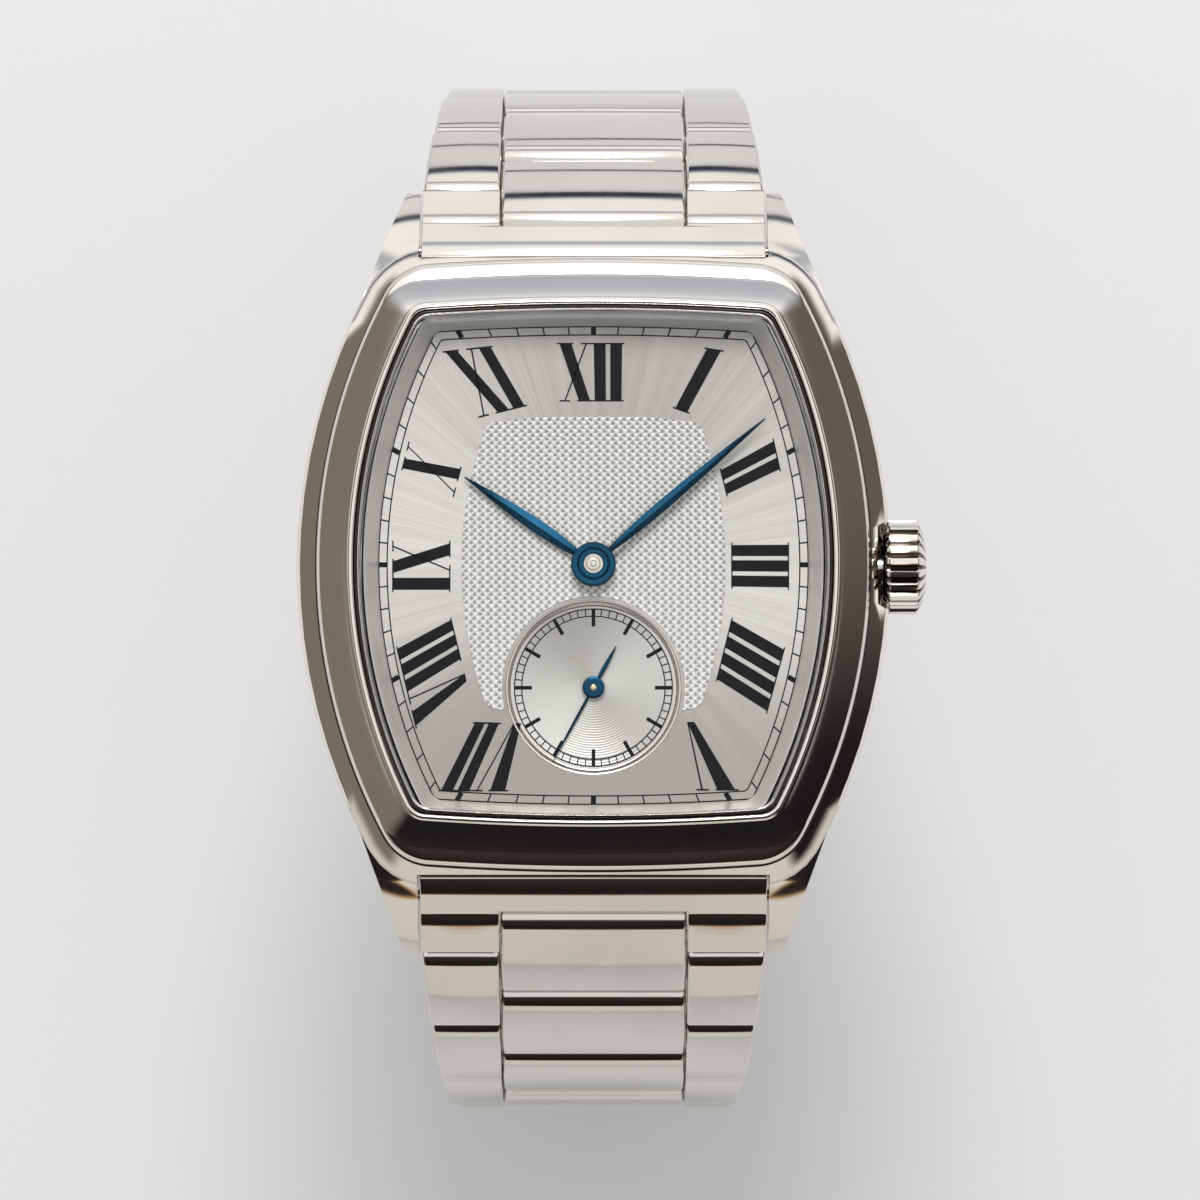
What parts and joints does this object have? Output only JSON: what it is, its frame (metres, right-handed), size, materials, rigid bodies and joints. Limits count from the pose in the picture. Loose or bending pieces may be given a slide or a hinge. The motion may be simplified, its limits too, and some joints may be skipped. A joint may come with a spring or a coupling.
{
  "type": "tonneau wristwatch",
  "caption": "Steel barrel-shaped wristwatch with small seconds, blued hands and a three-row link bracelet closed by a folding clasp.",
  "frame": {"origin": "centre of the case back's flat outer face", "axes": "+X to 3 o'clock and the crown, +Y to 12 o'clock, +Z out of the dial"},
  "size_m": [0.0396, 0.0682, 0.0579],
  "materials": {
    "polished_steel": "mirror polished",
    "movement_steel": "plain",
    "sapphire": "polished",
    "dial_silver": "silvered, sunray brushed",
    "blued_steel": "heat blued",
    "plate_brass": "plain",
    "gasket_rubber": "matt",
    "gasket_white": "translucent"
  },
  "bodies": {
    "case": {"mid_case": "polished_steel", "bezel": "polished_steel", "crystal": "sapphire", "crystal_gasket": "gasket_white", "dial_ring": "polished_steel", "case_back": "polished_steel", "case_back_gasket": "gasket_rubber", "case_back_screws": "polished_steel", "movement_ring": "movement_steel", "crown_tube": "polished_steel", "dial": "dial_silver", "main_plate": "plate_brass", "barrel_bridge": "plate_brass", "train_bridge": "plate_brass", "balance_cock": "plate_brass", "bridge_screws": "blued_steel", "hairspring": "blued_steel", "end_link_12": "polished_steel", "end_link_6": "polished_steel", "spring_bars": "polished_steel"},
    "crown_slider": {"crown_gasket": "gasket_rubber"},
    "crown_stem": {"crown": "polished_steel", "winding_stem": "movement_steel"},
    "minute_group": {"minute_hand": "blued_steel", "cannon_pinion": "movement_steel"},
    "minute_wheel_body": {"minute_wheel": "plate_brass"},
    "hour_group": {"hour_hand": "blued_steel", "hour_wheel": "plate_brass"},
    "seconds_group": {"seconds_hand": "blued_steel", "fourth_wheel": "plate_brass"},
    "third_wheel_body": {"third_wheel": "plate_brass"},
    "centre_wheel_body": {"centre_wheel": "plate_brass"},
    "barrel_body": {"barrel": "plate_brass"},
    "escape_wheel_body": {"escape_wheel": "movement_steel"},
    "pallet_fork_body": {"pallet_fork": "movement_steel"},
    "balance_body": {"balance_wheel": "plate_brass"},
    "link_12_1_body": {"link_12_1": "polished_steel"},
    "link_12_2_body": {"link_12_2": "polished_steel"},
    "link_12_3_body": {"link_12_3": "polished_steel"},
    "link_12_4_body": {"link_12_4": "polished_steel"},
    "link_12_5_body": {"link_12_5": "polished_steel"},
    "link_12_6_body": {"link_12_6": "polished_steel"},
    "link_12_7_body": {"link_12_7": "polished_steel"},
    "link_12_8_body": {"link_12_8": "polished_steel"},
    "link_6_1_body": {"link_6_1": "polished_steel"},
    "link_6_2_body": {"link_6_2": "polished_steel"},
    "link_6_3_body": {"link_6_3": "polished_steel"},
    "link_6_4_body": {"link_6_4": "polished_steel"},
    "link_6_5_body": {"link_6_5": "polished_steel"},
    "link_6_6_body": {"link_6_6": "polished_steel"},
    "link_6_7_body": {"link_6_7": "polished_steel"},
    "link_6_8_body": {"link_6_8": "polished_steel"},
    "inner_blade_body": {"clasp_inner_blade": "polished_steel"},
    "middle_blade_body": {"clasp_middle_blade": "polished_steel"},
    "cover_body": {"clasp_cover": "polished_steel", "clasp_spring_bar": "polished_steel"}
  },
  "joints": [
    {"name": "crown_pull", "type": "slide", "parent": "case", "child": "crown_slider", "axis": [1, 0, 0], "range_m": [0, 0.001]},
    {"name": "crown_turn", "type": "hinge", "parent": "crown_slider", "child": "crown_stem", "pos_m": [0.0186, 0, 0.00445], "axis": [1, 0, 0], "continuous": true},
    {"name": "minute_hand_turn", "type": "hinge", "parent": "case", "child": "minute_group", "pos_m": [0, 0, 0.007], "axis": [0, 0, -1], "continuous": true},
    {"name": "minute_wheel_turn", "type": "hinge", "parent": "case", "child": "minute_wheel_body", "pos_m": [0.0018, 0.00312, 0.005], "axis": [0, 0, -1], "continuous": true},
    {"name": "hour_hand_turn", "type": "hinge", "parent": "case", "child": "hour_group", "pos_m": [0, 0, 0.007], "axis": [0, 0, -1], "continuous": true},
    {"name": "seconds_hand_turn", "type": "hinge", "parent": "case", "child": "seconds_group", "pos_m": [0, -0.0077, 0.006], "axis": [0, 0, -1], "continuous": true},
    {"name": "third_wheel_turn", "type": "hinge", "parent": "case", "child": "third_wheel_body", "pos_m": [0.0027, -0.00442, 0.003], "axis": [0, 0, -1], "continuous": true},
    {"name": "centre_wheel_turn", "type": "hinge", "parent": "case", "child": "centre_wheel_body", "pos_m": [0, 0, 0.003], "axis": [0, 0, -1], "continuous": true},
    {"name": "barrel_turn", "type": "hinge", "parent": "case", "child": "barrel_body", "pos_m": [-0.00421, 0.00421, 0.003], "axis": [0, 0, -1], "continuous": true},
    {"name": "escape_wheel_turn", "type": "hinge", "parent": "case", "child": "escape_wheel_body", "pos_m": [-0.00362, -0.00902, 0.003], "axis": [0, 0, -1], "continuous": true},
    {"name": "pallet_fork_swing", "type": "hinge", "parent": "case", "child": "pallet_fork_body", "pos_m": [-0.00517, -0.00681, 0.003], "axis": [0, 0, -1], "range_deg": [-5, 5]},
    {"name": "balance_swing", "type": "hinge", "parent": "case", "child": "balance_body", "pos_m": [-0.00815, -0.0043, 0.003], "axis": [0, 0, -1], "range_deg": [-135, 135]},
    {"name": "link_12_1_hinge", "type": "hinge", "parent": "case", "child": "link_12_1_body", "pos_m": [0, 0.0221, 0.00258], "axis": [1, 0, 0], "range_deg": [0, 16]},
    {"name": "link_12_2_hinge", "type": "hinge", "parent": "link_12_1_body", "child": "link_12_2_body", "pos_m": [0, 0.02687, -0.00254], "axis": [1, 0, 0], "range_deg": [0, 16.7]},
    {"name": "link_12_3_hinge", "type": "hinge", "parent": "link_12_2_body", "child": "link_12_3_body", "pos_m": [0, 0.0303, -0.00864], "axis": [1, 0, 0], "range_deg": [0, 16.7]},
    {"name": "link_12_4_hinge", "type": "hinge", "parent": "link_12_3_body", "child": "link_12_4_body", "pos_m": [0, 0.03218, -0.01539], "axis": [1, 0, 0], "range_deg": [0, 16.7]},
    {"name": "link_12_5_hinge", "type": "hinge", "parent": "link_12_4_body", "child": "link_12_5_body", "pos_m": [0, 0.03241, -0.02238], "axis": [1, 0, 0], "range_deg": [0, 16.7]},
    {"name": "link_12_6_hinge", "type": "hinge", "parent": "link_12_5_body", "child": "link_12_6_body", "pos_m": [0, 0.03098, -0.02923], "axis": [1, 0, 0], "range_deg": [0, 16.7]},
    {"name": "link_12_7_hinge", "type": "hinge", "parent": "link_12_6_body", "child": "link_12_7_body", "pos_m": [0, 0.02797, -0.03555], "axis": [1, 0, 0], "range_deg": [0, 16.7]},
    {"name": "link_12_8_hinge", "type": "hinge", "parent": "link_12_7_body", "child": "link_12_8_body", "pos_m": [0, 0.02354, -0.04098], "axis": [1, 0, 0], "range_deg": [0, 16.7]},
    {"name": "link_6_1_hinge", "type": "hinge", "parent": "case", "child": "link_6_1_body", "pos_m": [0, -0.0221, 0.00258], "axis": [-1, 0, 0], "range_deg": [0, 16]},
    {"name": "link_6_2_hinge", "type": "hinge", "parent": "link_6_1_body", "child": "link_6_2_body", "pos_m": [0, -0.02687, -0.00254], "axis": [-1, 0, 0], "range_deg": [0, 16.7]},
    {"name": "link_6_3_hinge", "type": "hinge", "parent": "link_6_2_body", "child": "link_6_3_body", "pos_m": [0, -0.0303, -0.00864], "axis": [-1, 0, 0], "range_deg": [0, 16.7]},
    {"name": "link_6_4_hinge", "type": "hinge", "parent": "link_6_3_body", "child": "link_6_4_body", "pos_m": [0, -0.03218, -0.01539], "axis": [-1, 0, 0], "range_deg": [0, 16.7]},
    {"name": "link_6_5_hinge", "type": "hinge", "parent": "link_6_4_body", "child": "link_6_5_body", "pos_m": [0, -0.03241, -0.02238], "axis": [-1, 0, 0], "range_deg": [0, 16.7]},
    {"name": "link_6_6_hinge", "type": "hinge", "parent": "link_6_5_body", "child": "link_6_6_body", "pos_m": [0, -0.03098, -0.02923], "axis": [-1, 0, 0], "range_deg": [0, 16.7]},
    {"name": "link_6_7_hinge", "type": "hinge", "parent": "link_6_6_body", "child": "link_6_7_body", "pos_m": [0, -0.02797, -0.03555], "axis": [-1, 0, 0], "range_deg": [0, 16.7]},
    {"name": "link_6_8_hinge", "type": "hinge", "parent": "link_6_7_body", "child": "link_6_8_body", "pos_m": [0, -0.02354, -0.04098], "axis": [-1, 0, 0], "range_deg": [0, 16.7]},
    {"name": "clasp_end_hinge", "type": "hinge", "parent": "link_6_8_body", "child": "inner_blade_body", "pos_m": [0, -0.01796, -0.0452], "axis": [-1, 0, 0], "range_deg": [0, 40]},
    {"name": "middle_blade_fold", "type": "hinge", "parent": "inner_blade_body", "child": "middle_blade_body", "pos_m": [0, 0.01426, -0.04574], "axis": [1, 0, 0], "range_deg": [0, 150]},
    {"name": "cover_fold", "type": "hinge", "parent": "middle_blade_body", "child": "cover_body", "pos_m": [0, -0.01426, -0.04683], "axis": [-1, 0, 0], "range_deg": [0, 150]}
  ],
  "couplings": [
    {"joint": "minute_wheel_turn", "follows": "minute_hand_turn", "ratio": -0.33333},
    {"joint": "hour_hand_turn", "follows": "minute_hand_turn", "ratio": 0.083333},
    {"joint": "third_wheel_turn", "follows": "seconds_hand_turn", "ratio": -0.13333},
    {"joint": "centre_wheel_turn", "follows": "seconds_hand_turn", "ratio": 0.016667},
    {"joint": "barrel_turn", "follows": "seconds_hand_turn", "ratio": -0.0022222},
    {"joint": "escape_wheel_turn", "follows": "seconds_hand_turn", "ratio": -10},
    {"joint": "middle_blade_fold", "follows": "cover_fold", "ratio": 1}
  ]
}
